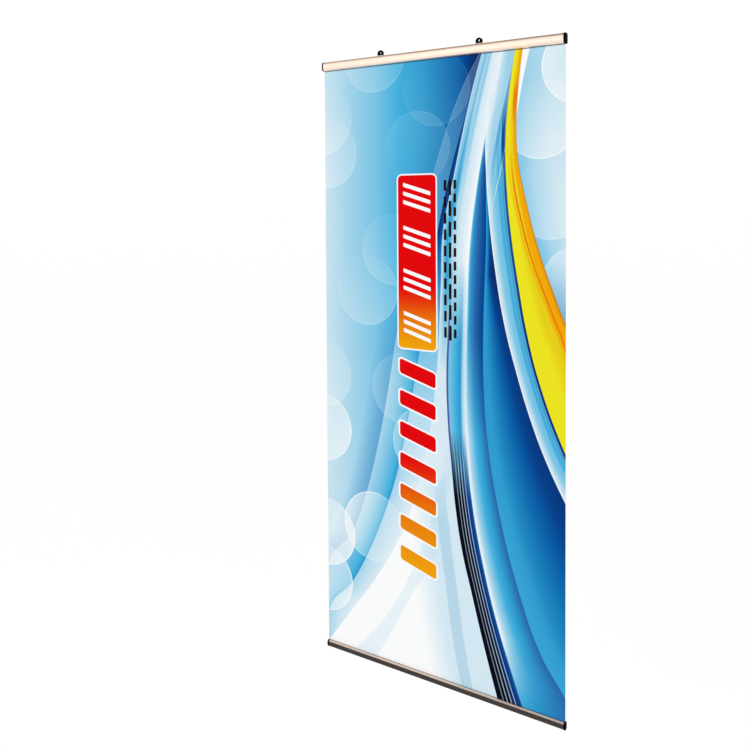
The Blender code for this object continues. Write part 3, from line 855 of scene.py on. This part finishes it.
        high = self.shades(across, (0.0, "violet"), (0.05, "slate"), (0.12, "sky"), (0.45, "cyan"), (0.7, "azure"),
                           (0.82, "light"), (1.0, "frost"))
        low = self.shades(across, (0.0, "night"), (0.45, "night"), (0.70, "navy"), (0.88, "deep"), (0.97, "slate"),
                          (1.0, "light"))
        cover = self.all_of(self.past(inner), self.fade(640, 900))
        self.lay(self.mix(self.fade(1180, 1400), high, low), cover)
        self.stripe(inner, 2.0, 5.0, "violet", 0.8, self.spell(800, 950, 1220, 1330))
        for place, strength in ((0.24, 0.7), (0.40, 0.9), (0.56, 0.9), (0.72, 0.85)):
            away = self.math("ABSOLUTE", self.math("SUBTRACT", across, place))
            self.lay("pale", self.slope(away, -34.0, 1.15), cover, self.fade(1160, 1300), strength)
        across = self.share(right, hollow)
        glow = self.shades(across, (0.0, "white"), (0.05, "frost"), (0.17, "light"), (0.30, "sky"), (0.45, "cyan"),
                           (0.70, "azure"), (1.0, "slate"))
        dull = self.shades(across, (0.0, "cyan"), (0.30, "azure"), (1.0, "slate"))
        dark = self.shades(across, (0.0, "sky"), (0.15, "azure"), (0.5, "slate"), (1.0, "deep"))
        glow = self.mix(self.fade(1800, 1980), glow, dull)
        self.lay(self.mix(self.fade(860, 1200), dark, glow), self.past(right, 3.0))
        reach = self.math("MAXIMUM", self.math("MULTIPLY_ADD", self.down, 0.20, -0.124), 0.012)
        gone = self.math("DIVIDE", self.from_line(hollow), reach)
        field = self.shades(self.math("MULTIPLY", gone, 0.55, clamp=True), (0.0, "azure"), (0.12, "azure"),
                            (0.30, "blue"), (0.48, "royal"), (0.66, "deep"), (1.0, "navy"))
        cooler = self.mix(self.all_of(self.fade(1000, 1500), 0.5), field, self.inks["cyan"])
        self.lay(self.mix(self.slope(gone, -2.6, 1.0), field, cooler), self.past(hollow))
        return crest

    def right_sweeps(self, crest):
        """The light band, the yellow swoosh with its dark outline, and the pale field on the right."""
        yellow = self.line((0, 695), (160, 672), (290, 664), (400, 667), (550, 681), (715, 706), (850, 731),
                           (1000, 771), (1200, 850), (1350, 930), (2000, 1000))
        outer = self.line((0, 719), (120, 705), (230, 699), (325, 704), (450, 729), (600, 769), (725, 814),
                          (815, 850), (1000, 950), (2000, 1000))
        across, edge = self.share(crest, yellow), self.past(crest)
        self.lay(self.shades(across, (0.0, "frost"), (0.08, "pale"), (0.18, "light"), (0.38, "sky"), (0.60, "cyan"),
                             (0.80, "azure"), (0.92, "royal"), (1.0, "navy")), edge)
        self.streaks(across, 9.0, 0.42, edge)
        self.lay("frost", edge, self.until(120, 420), 0.5)
        facet = self.line((0, 694), (150, 652), (300, 618), (420, 602), (2000, 500))
        for offset, width, ink, strength in ((0.0, 16.0, "light", 0.7), (14.0, 9.0, "harbour", 0.55)):
            self.stripe(facet, offset, width, ink, strength, self.until(280, 420), edge)
        glint = self.line((0, 720), (300, 662), (500, 616), (600, 600), (2000, 500))
        self.stripe(glint, 0.0, 2.0, "white", 0.8, self.spell(230, 330, 420, 520), edge)
        self.stripe(crest, 0.4, 1.8, "white", 0.9)
        self.stripe(yellow, -3.0, 7.0, "navy", self.fade(480, 850))
        self.stripe(yellow, -8.0, 10.0, "deep", 0.85, self.spell(150, 240, 290, 360))
        self.lay(self.shades(self.share(yellow, outer), (0.0, "lemon"), (0.32, "lemon"), (0.50, "yellow"),
                             (0.64, "yellow"), (0.72, "amber"), (0.90, "amber"), (1.0, "ochre")), self.past(yellow))
        crease = self.line((0, 640), (240, 676), (400, 690), (520, 716), (650, 754), (780, 806), (895, 850),
                           (2000, 1000))
        self.stripe(crease, 0.0, 5.0, "orange", self.fade(300, 420))
        self.stripe(crease, -9.0, 8.0, "amber", 0.5, self.fade(200, 500))
        self.stripe(outer, -8.0, 12.0, "orange", 0.8, self.spell(80, 130, 165, 225))
        gone, right = self.from_line(outer), self.past(outer)
        field = self.shades(self.slope(gone, 1 / 0.150, 0.0), (0.0, "sky"), (0.25, "light"), (0.65, "pale"),
                            (1.0, "mist"))
        field = self.mix(self.all_of(self.until(60, 420), 0.6), field, self.inks["light"])
        self.lay(self.mix(self.all_of(self.fade(640, 850), 0.6), field, self.inks["slate"]), right)
        fringe = self.math("MULTIPLY_ADD", gone, -1 / 0.004, 6.0)
        self.lay("white", self.less(fringe, self.all_of(self.fade(0, 240), 6.5)), right)
        self.discs([(895, 60, 0.6, 170), (775, 212, 0.5, 60), (803, 450, 0.3, 90), (895, 700, 0.35, 200)], right)

    def marks(self):
        """Plain blocks where a customer's own lettering would be printed."""
        panel = self.bar((359, 650), (69, 283), 14)
        self.lay("white", self.within(panel, 5))
        self.lay(self.shades(self.fade(365, 935), (0.0, "red"), (0.62, "red"), (0.82, "orange"), (1.0, "amber")),
                 self.within(panel))
        for offset in (-28, 0, 28):
            self.lay("white", self.within(self.bar((359, 440 + offset), (50, 6.5), 3, slant=0.30, rows=4, pitch=140)))
        bars = self.bar((359, 1012), (66, 24), 9, slant=0.30, rows=7, pitch=104)
        self.lay("white", self.within(bars, 6))
        self.lay(self.shades(self.fade(960, 1700), (0.0, "red"), (0.42, "red"), (0.66, "orange"), (1.0, "amber")),
                 self.within(bars))
        for across, half, pitch, rows in ((461, 17, 52, 10), (478, 24, 66, 8), (495, 14, 43, 12)):
            dash = self.bar((across, 385 + half), (4.5, half), 2, rows=rows, pitch=pitch)
            self.lay("brown", self.within(dash))

    def surface(self):
        """Satin film: a faint scrim and orange peel under the ink."""
        self.wire("Base Color", self.add("ShaderNodeGamma", self.art, SWATCH_GAMMA).outputs[0])
        self.wire("Roughness", self.between(self.noise(PLAIN, 5.0), 0.40, 0.52))
        self.bump(self.noise(PLAIN, 420.0), 0.05, 0.05 * MM)


def printed_film(low, high, mouth):
    """The whole print, laid from the ground colours to the marks on top."""
    film = Print(high.x - low.x, high.z - low.z, high.z - mouth[0], mouth[0] - mouth[1])
    film.background()
    film.pale_ground(film.left_sweeps())
    film.discs([(200, -30, 0.16, 90), (-8, 170, 0.30, 110), (12, 285, 0.24, 70), (430, 95, 0.08, 45),
                (360, 278, 0.10, 320), (268, 610, 0.14, 120), (168, 750, 0.24, 60), (-17, 1052, 0.24, 40),
                (-17, 1242, 0.60, 20), (305, 1070, 0.16, 150), (385, 1240, 0.36, 160), (188, 1555, 0.62, 200),
                (-5, 1612, 0.75, 20), (-17, 1778, 0.60, 20)])
    film.right_sweeps(film.ribbons())
    film.marks()
    film.surface()
    return film.material


# ---------------------------------------------------------------- operators

class BANNER_OT_finishes(bpy.types.Operator):
    """Make the finishes that the pieces share"""
    bl_idname = "banner.finishes"
    bl_label = "Finishes"

    def execute(self, context):
        for make in (bronze_rail, champagne_rail, black_plastic, black_rubber, spring_steel, film_back):
            MADE[make.__name__] = make(settings().finishes)
        return {"FINISHED"}


def finish(name):
    """A finish made earlier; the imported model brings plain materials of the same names."""
    return MADE[name]


class BANNER_OT_rails(bpy.types.Operator):
    """Push both rails' back and front extrusions"""
    bl_idname = "banner.rails"
    bl_label = "Rails"

    def execute(self, context):
        top, bottom = top_section(), bottom_section()
        keel = rectangle((WALL - KEEL_FRONT, WALL), (KEEL_WEB, KEEL_DEPTH - WALL))
        self.extrusion("top_back_rail", top, [top.back_loop(hanger_track()), top.chamber()], "banner")
        self.extrusion("bottom_back_rail", bottom, [bottom.back_loop([]), bottom.chamber(), keel], "banner")
        self.extrusion("top_front_jaw", top, [top.jaw_loop()], "top_jaw")
        self.extrusion("bottom_front_jaw", bottom, [bottom.jaw_loop()], "bottom_jaw")
        return {"FINISHED"}

    @staticmethod
    def extrusion(node, section, loops, body):
        # The lower front jaw takes the rail finish with painted shade on its face and painted light on its shoulder.
        slot = "bronze_rail" if node == "bottom_front_jaw" else "champagne_rail"
        half = section.half_length - (0.0 if body == "banner" else GAP)
        chamfer = settings().rails.end_chamfer
        made = extruded(f"{node}_piece", [section.placed(loop) for loop in loops], 2 * half, finish(slot), ALONG_X)
        reshape(made, lambda shape: round_edges(shape, rim(shape, 0, half) + rim(shape, 0, -half), chamfer, 1))
        hand_over(made, body, node)


class BANNER_OT_grips(bpy.types.Operator):
    """Push the ribbed rubber strips that pinch the film"""
    bl_idname = "banner.grips"
    bl_label = "Grips"

    def execute(self, context):
        for rail, section in (("top", top_section()), ("bottom", bottom_section())):
            for name, side, body in (("front_grip", -1, f"{rail}_jaw"), ("rear_grip", 1, "banner")):
                node = f"{rail}_{name}"
                made = extruded(f"{node}_piece", [section.placed(section.grip_loop(side))],
                                2 * (section.half_length - GAP), finish("black_rubber"), ALONG_X)
                reshape(made)
                hand_over(made, body, node)
        return {"FINISHED"}


class BANNER_OT_springs(bpy.types.Operator):
    """Bend the steel leaves that keep the jaws shut"""
    bl_idname = "banner.springs"
    bl_label = "Springs"

    def execute(self, context):
        for rail in ("top", "bottom"):
            for side in ("left", "right"):
                self.leaf(f"{rail}_spring_{side}", rail == "top", settings().rails)
        return {"FINISHED"}

    @staticmethod
    def leaf(node, runs_down, sizes):
        low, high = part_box(node)
        seat, towards = (low.z, 1) if runs_down else (high.z, -1)
        start = (low.x + high.x - sizes.spring_length) / 2
        rise, steps = high.z - low.z - sizes.spring_thickness, sizes.spring_steps
        inner = [(start + sizes.spring_length * i / steps, seat + towards * rise * math.sin(math.pi * i / steps))
                 for i in range(steps + 1)]
        outer = [(x, z + towards * sizes.spring_thickness) for x, z in inner]
        made = extruded(f"{node}_piece", [inner + outer[::-1]], high.y - low.y, finish("spring_steel"),
                        Matrix.Translation((0, (low.y + high.y) / 2, 0)) @ ALONG_Y)
        reshape(made, lambda shape: round_edges(shape, rim(shape, 1, low.y) + rim(shape, 1, high.y), SPRING_ROUND,
                                                SPRING_ROUND_STEPS))
        hand_over(made, "banner", node)


class BANNER_OT_caps(bpy.types.Operator):
    """Mould the domed end caps with their pegs"""
    bl_idname = "banner.caps"
    bl_label = "End caps"

    def execute(self, context):
        top_peg = rectangle((-TRACK_WIDTH / 2 + GAP, TRACK_LIP + GAP),
                            (TRACK_WIDTH / 2 - GAP, TRACK_LIP + TRACK_HEIGHT - GAP))
        keel_peg = rectangle((WALL - KEEL_FRONT + GAP, WALL + GAP), (KEEL_WEB - GAP, KEEL_DEPTH - WALL - GAP))
        for rail, section, short in (("top", top_section(), top_peg), ("bottom", bottom_section(), keel_peg)):
            for side, sign in (("left", -1), ("right", 1)):
                self.cap(f"{rail}_cap_{side}", section, sign, short, settings().fittings)
        return {"FINISHED"}

    @staticmethod
    def cap(node, section, sign, short_peg, sizes):
        low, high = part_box(node)
        outer = max(abs(low.x), abs(high.x))
        inner = section.half_length + GAP
        plastic = finish("black_plastic")

        def along(name, loop, start, end):
            place = Matrix.Translation((sign * (start + end) / 2, 0, 0)) @ ALONG_X
            return extruded(name, [section.placed(loop)], end - start, plastic, place)

        made = along(f"{node}_piece", section.cap_loop(), inner, outer)
        reshape(made, lambda shape: round_edges(shape, rim(shape, 0, sign * outer), sizes.cap_round,
                                                sizes.cap_round_steps))
        long_peg = rectangle((WEB_BACK + GAP, section.block_depth + WALL + GAP),
                             (section.back - WALL - GAP, section.height - section.back_round))
        middle = (inner + outer) / 2
        unite(made, along("long_peg", long_peg, inner - CAP_PEG, middle),
              along("short_peg", short_peg, inner - TRACK_PEG, middle))
        reshape(made)
        hand_over(made, "banner", node)


class BANNER_OT_hangers(bpy.types.Operator):
    """Mould the two hangers that slide in the upper rail"""
    bl_idname = "banner.hangers"
    bl_label = "Hangers"

    def execute(self, context):
        for side in ("left", "right"):
            self.hanger(f"hanger_{side}", f"{side}_hanger", settings().fittings)
        return {"FINISHED"}

    @staticmethod
    def hanger(node, body, sizes):
        low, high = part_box(node)
        middle, half, rail = (low.x + high.x) / 2, (high.x - low.x) / 2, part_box("top_back_rail")[1].z
        plastic, seat, shoulder = finish("black_plastic"), rail + GAP, high.z - CROWN_SHARE * half
        outline = [(half, seat)] + [
            (half * math.cos(a), shoulder + (high.z - shoulder) * math.sin(a))
            for a in (math.pi * i / sizes.arch_steps for i in range(sizes.arch_steps + 1))] + [(-half, seat)]
        last = EYELET_STEPS - 1
        eyelet = arc((0.0, 0.0), EYELET_RADIUS, 0, 2 * math.pi * last / EYELET_STEPS, last)
        aside = Matrix.Translation((middle, 0, 0))
        made = extruded(f"{node}_piece", [outline, eyelet], HANGER_THICKNESS, plastic, aside @ ALONG_Y)

        def rims(shape, round_eyelet):
            """The rims of both faces that lie round the eyelet, or the others."""
            edges = rim(shape, 1, HANGER_THICKNESS / 2) + rim(shape, 1, -HANGER_THICKNESS / 2)
            near = 1.5 * EYELET_RADIUS
            return [e for e in edges
                    if all(math.hypot(v.co.x - middle, v.co.z) < near for v in e.verts) == round_eyelet]

        def soften(shape):
            round_edges(shape, rims(shape, True), sizes.eyelet_round, EYELET_ROUND_STEPS)
            round_edges(shape, rims(shape, False), sizes.hanger_round, HANGER_ROUND_STEPS)

        reshape(made, soften)
        foot_top, foot_bottom = rail - TRACK_LIP - HANGER_RUN, rail - TRACK_LIP - TRACK_HEIGHT + HANGER_RUN
        foot, neck, joined = TRACK_WIDTH / 2 - HANGER_RUN, SLOT_WIDTH / 2 - HANGER_RUN, rail + NECK_OVERLAP
        tee = [(foot, foot_bottom), (foot, foot_top), (neck, foot_top), (neck, joined), (-neck, joined),
               (-neck, foot_top), (-foot, foot_top), (-foot, foot_bottom)]
        unite(made, extruded("foot", [tee], HANGER_FOOT, plastic, aside @ ALONG_X))
        reshape(made)
        hand_over(made, body, node)


class BANNER_OT_film(bpy.types.Operator):
    """Cut the printed film, hang it and print it"""
    bl_idname = "banner.film"
    bl_label = "Printed film"

    def execute(self, context):
        sizes = settings().film
        low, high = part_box("printed_sheet")
        top, bottom = top_section(), bottom_section()
        mouth = (top.edge - top.height, bottom.edge + bottom.height)
        shoulder = CAP_PROUD + GAP
        narrow = top.half_length - GAP
        wide_top, wide_bottom = mouth[0] - shoulder, mouth[1] + shoulder
        columns = [low.x] + self.spaced(-narrow, narrow, sizes.spacing) + [high.x]
        rows = [high.z] + self.spaced(wide_top, wide_bottom, sizes.spacing) + [low.z]
        shape = bmesh.new()
        uv = shape.loops.layers.uv.new("film")
        grid = {}

        def vert(i, j):
            if (i, j) not in grid:
                x, z = columns[i], rows[j]
                grid[i, j] = shape.verts.new((x, self.ripple(x, z, mouth, sizes), z))
            return grid[i, j]

        for j in range(len(rows) - 1):
            tucked = j in (0, len(rows) - 2)
            for i in range(1 if tucked else 0, len(columns) - (2 if tucked else 1)):
                face = shape.faces.new((vert(i, j + 1), vert(i + 1, j + 1), vert(i + 1, j), vert(i, j)))
                for loop in face.loops:
                    loop[uv].uv = ((loop.vert.co.x - low.x) / (high.x - low.x),
                                   (loop.vert.co.z - low.z) / (high.z - low.z))
        made = linked("printed_film_piece", shape)
        made.data.materials.append(printed_film(low, high, mouth))
        made.data.materials.append(finish("film_back"))
        step = made.modifiers.new("thickness", "SOLIDIFY")
        step.thickness, step.offset = high.y - low.y, 0.0
        step.use_even_offset = True
        keep_result(made)
        for face in made.data.polygons:
            face.material_index = 1 if face.normal.y > -0.5 else 0
        hand_over(made, "banner", "printed_sheet")
        return {"FINISHED"}

    @staticmethod
    def spaced(start, end, spacing):
        steps = max(1, round(abs(end - start) / spacing))
        return [start + (end - start) * i / steps for i in range(steps + 1)]

    @staticmethod
    def ripple(x, z, mouth, sizes):
        """A barely visible wave, two crossed ripples, that dies out at both clamps."""
        share = (mouth[0] - z) / (mouth[0] - mouth[1])
        if not 0 < share < 1:
            return 0.0
        turn = 2 * math.pi / sizes.ripple_length
        wave = math.sin(turn * x + 0.8 * math.sin(3.1 * z)) + 0.5 * math.sin(0.61 * turn * x - 2.3 * z + 1.0)
        return sizes.ripple * math.sin(math.pi * share) * wave / 1.5


class BANNER_OT_stage(bpy.types.Operator):
    """Set the pale studio, its soft lights and the camera"""
    bl_idname = "banner.stage"
    bl_label = "Stage"

    def execute(self, context):
        stage = settings().stage
        self.floor(CAD_BOX[0].z - stage.clearance, stage)
        self.world(context, stage)
        self.lights(context, stage)
        self.camera(context, stage)
        context.scene.view_settings.view_transform = "Standard"
        return {"FINISHED"}

    @staticmethod
    def floor(height, stage):
        shape = bmesh.new()
        bmesh.ops.create_grid(shape, x_segments=8, y_segments=8, size=FLOOR_REACH)
        bmesh.ops.translate(shape, vec=(0, 0, height), verts=shape.verts)
        made = linked("studio_floor", shape)
        finish = Finish("studio_floor", 0.0, 0.2)
        shade = linear(settings().finishes.floor)
        finish.wire("Base Color", finish.mix(finish.noise(PLAIN, 2.0), tinted(shade, 0.985), shade))
        for name, value in (("Roughness", 0.8), ("Emission Color", WHITE), ("Emission Strength", stage.floor_glow)):
            finish.shader.inputs[name].default_value = value
        made.data.materials.append(finish.material)
        made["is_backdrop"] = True

    @staticmethod
    def world(context, stage):
        """White walls under a dimmer ceiling."""
        world = bpy.data.worlds.new("studio")
        context.scene.world = world
        world.use_nodes = True
        tree = world.node_tree
        direction = tree.nodes.new("ShaderNodeTexCoord")
        parts = tree.nodes.new("ShaderNodeSeparateXYZ")
        ramp = tree.nodes.new("ShaderNodeValToRGB")
        walls_end, ceiling_start = ramp.color_ramp.elements
        walls_end.position, walls_end.color = 0.34, WHITE
        ceiling_start.position, ceiling_start.color = 0.95, (*[stage.ceiling] * 3, 1.0)
        tree.links.new(direction.outputs["Generated"], parts.inputs[0])
        tree.links.new(parts.outputs["Z"], ramp.inputs["Fac"])
        tree.links.new(ramp.outputs["Color"], tree.nodes["Background"].inputs["Color"])
        tree.nodes["Background"].inputs["Strength"].default_value = stage.walls

    @staticmethod
    def lights(context, stage):
        for name, place, size, share in LIGHTS:
            lamp = bpy.data.lights.new(name, "AREA")
            lamp.size, lamp.energy = size, share * stage.key_power
            made = bpy.data.objects.new(name, lamp)
            made.location = place
            made.rotation_euler = (LIGHT_AIM - Vector(place)).to_track_quat("-Z", "Y").to_euler()
            context.scene.collection.objects.link(made)

    @staticmethod
    def camera(context, stage):
        """Eye height, a little right of the banner and turned back towards it."""
        yaw, pitch, roll = (math.radians(a) for a in CAMERA_TURN)
        ahead = Vector((-math.sin(yaw) * math.cos(pitch), math.cos(yaw) * math.cos(pitch), -math.sin(pitch)))
        level = Vector((math.cos(yaw), math.sin(yaw), 0.0))
        above = level.cross(ahead)
        right = math.cos(roll) * level + math.sin(roll) * above
        up = -math.sin(roll) * level + math.cos(roll) * above
        lens = bpy.data.cameras.new("camera")
        lens.lens, lens.sensor_width, lens.shift_y, lens.clip_end = stage.lens, 36.0, stage.lift, 500.0
        made = bpy.data.objects.new("camera", lens)
        made.matrix_world = Matrix.Translation(CAMERA_PLACE) @ Matrix((right, up, -ahead)).transposed().to_4x4()
        context.scene.collection.objects.link(made)
        context.scene.camera = made


class BANNER_PT_panel(bpy.types.Panel):
    """Steps and sizes of the hanging banner"""
    bl_idname = "BANNER_PT_panel"
    bl_label = "Hanging banner"
    bl_space_type = "VIEW_3D"
    bl_region_type = "UI"
    bl_category = "Banner"

    def draw(self, context):
        for step in STEPS:
            self.layout.operator(step.bl_idname)
        for group in ("rails", "fittings", "film", "finishes", "inks", "stage"):
            box = self.layout.box()
            box.label(text=group.capitalize())
            values = getattr(settings(), group)
            for name in type(values).__annotations__:
                box.prop(values, name)


STEPS = (BANNER_OT_finishes, BANNER_OT_rails, BANNER_OT_grips, BANNER_OT_springs, BANNER_OT_caps, BANNER_OT_hangers,
         BANNER_OT_film, BANNER_OT_stage)
CLASSES = (RailSettings, FittingSettings, FilmSettings, FinishSettings, PrintSettings, StageSettings, BannerSettings,
           *STEPS, BANNER_PT_panel)


def register():
    for item in CLASSES:
        bpy.utils.register_class(item)
    bpy.types.Scene.hanging_banner = PointerProperty(type=BannerSettings)


def unregister():
    del bpy.types.Scene.hanging_banner
    for item in reversed(CLASSES):
        bpy.utils.unregister_class(item)


def main():
    register()
    for step in STEPS:
        group, action = step.bl_idname.split(".")
        getattr(getattr(bpy.ops, group), action)()
    boxes = {"cad": CAD_BOX, "visual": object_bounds()}
    {name: [[float(v) for v in corner] for corner in box] for name, box in boxes.items()}


if __name__ == "__main__":
    main()
